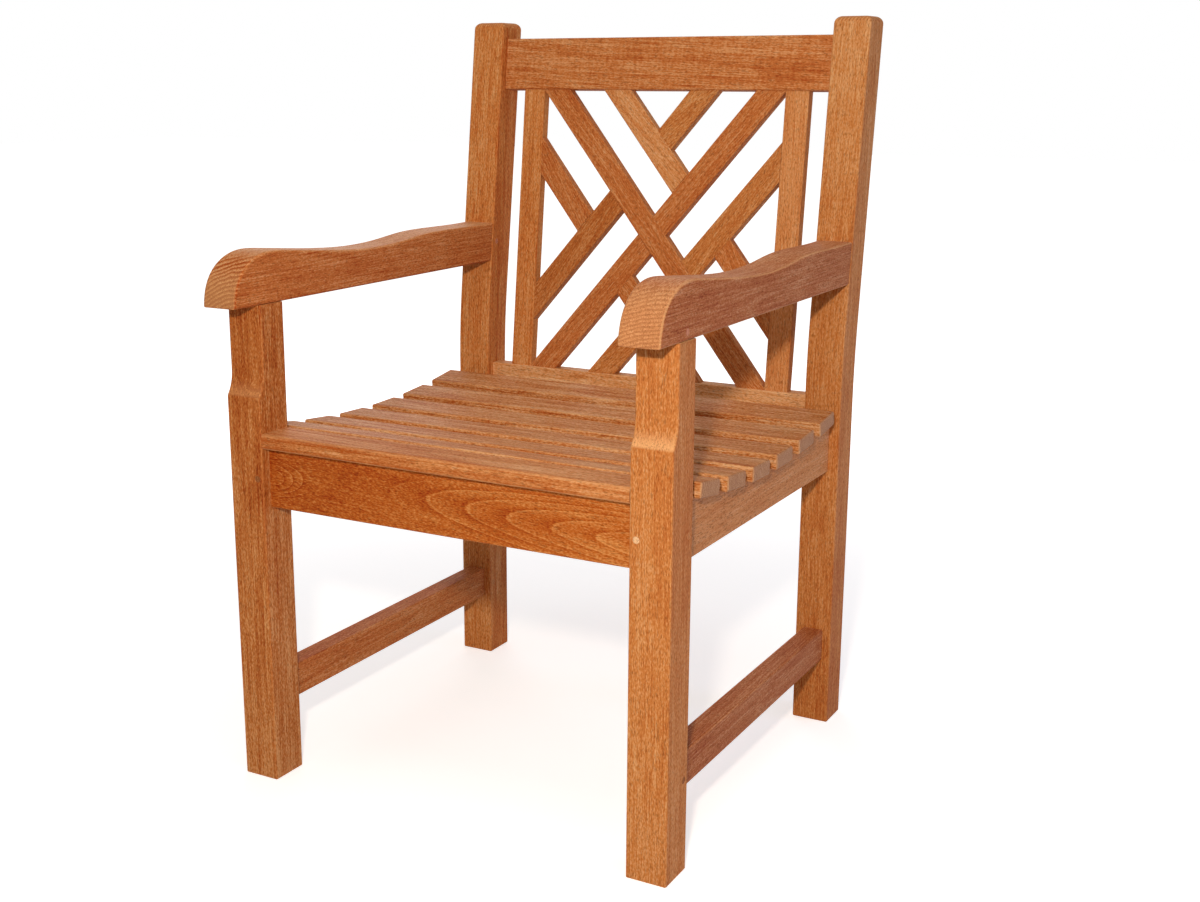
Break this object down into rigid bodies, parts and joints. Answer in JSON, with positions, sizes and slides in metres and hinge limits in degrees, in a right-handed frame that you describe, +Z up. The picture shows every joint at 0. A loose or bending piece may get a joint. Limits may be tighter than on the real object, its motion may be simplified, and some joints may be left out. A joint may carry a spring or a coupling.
{
  "type": "dining armchair",
  "caption": "Teak armchair with square legs, raked back posts, a dished slatted seat, shaped arms and an interlaced diagonal lattice back; a rigid, free-standing seat for one person.",
  "frame": {"origin": "on the floor, under the middle of the chair's overall box", "axes": "+Z up, +X across the chair towards its right-hand side as the picture shows it, +Y from front to back, so the chair faces -Y"},
  "size_m": [0.579, 0.6314, 0.915],
  "materials": {
    "teak_frame": "sanded, oiled",
    "teak_seat": "sanded, oiled",
    "teak_lattice": "sanded, oiled",
    "teak_peg": "sanded, end grain showing",
    "brass_screw": "plain"
  },
  "bodies": {
    "root": {"front_leg_left": "teak_frame", "front_leg_right": "teak_frame", "back_post_left": "teak_frame", "back_post_right": "teak_frame", "armrest_left": "teak_frame", "armrest_right": "teak_frame", "side_seat_rail_left": "teak_frame", "side_seat_rail_right": "teak_frame", "side_stretcher_left": "teak_frame", "side_stretcher_right": "teak_frame", "front_seat_rail": "teak_frame", "back_seat_rail": "teak_frame", "back_top_rail": "teak_frame", "seat_slat_1": "teak_seat", "seat_slat_2": "teak_seat", "seat_slat_3": "teak_seat", "seat_slat_4": "teak_seat", "seat_slat_5": "teak_seat", "seat_slat_6": "teak_seat", "seat_slat_7": "teak_seat", "lattice_stile_left": "teak_lattice", "lattice_stile_right": "teak_lattice", "lattice_falling_main": "teak_lattice", "lattice_falling_upper": "teak_lattice", "lattice_falling_left": "teak_lattice", "lattice_falling_right": "teak_lattice", "lattice_falling_lower": "teak_lattice", "lattice_rising_main": "teak_lattice", "lattice_rising_upper": "teak_lattice", "lattice_rising_left": "teak_lattice", "lattice_rising_right": "teak_lattice", "lattice_rising_lower": "teak_lattice", "front_rail_pegs": "teak_peg", "side_rail_pegs": "teak_peg", "stretcher_pegs": "teak_peg", "back_rail_pegs": "teak_peg", "arm_pegs": "teak_peg", "slat_plugs": "teak_peg", "lattice_dowels": "teak_peg", "slat_screws": "brass_screw"}
  },
  "joints": []
}
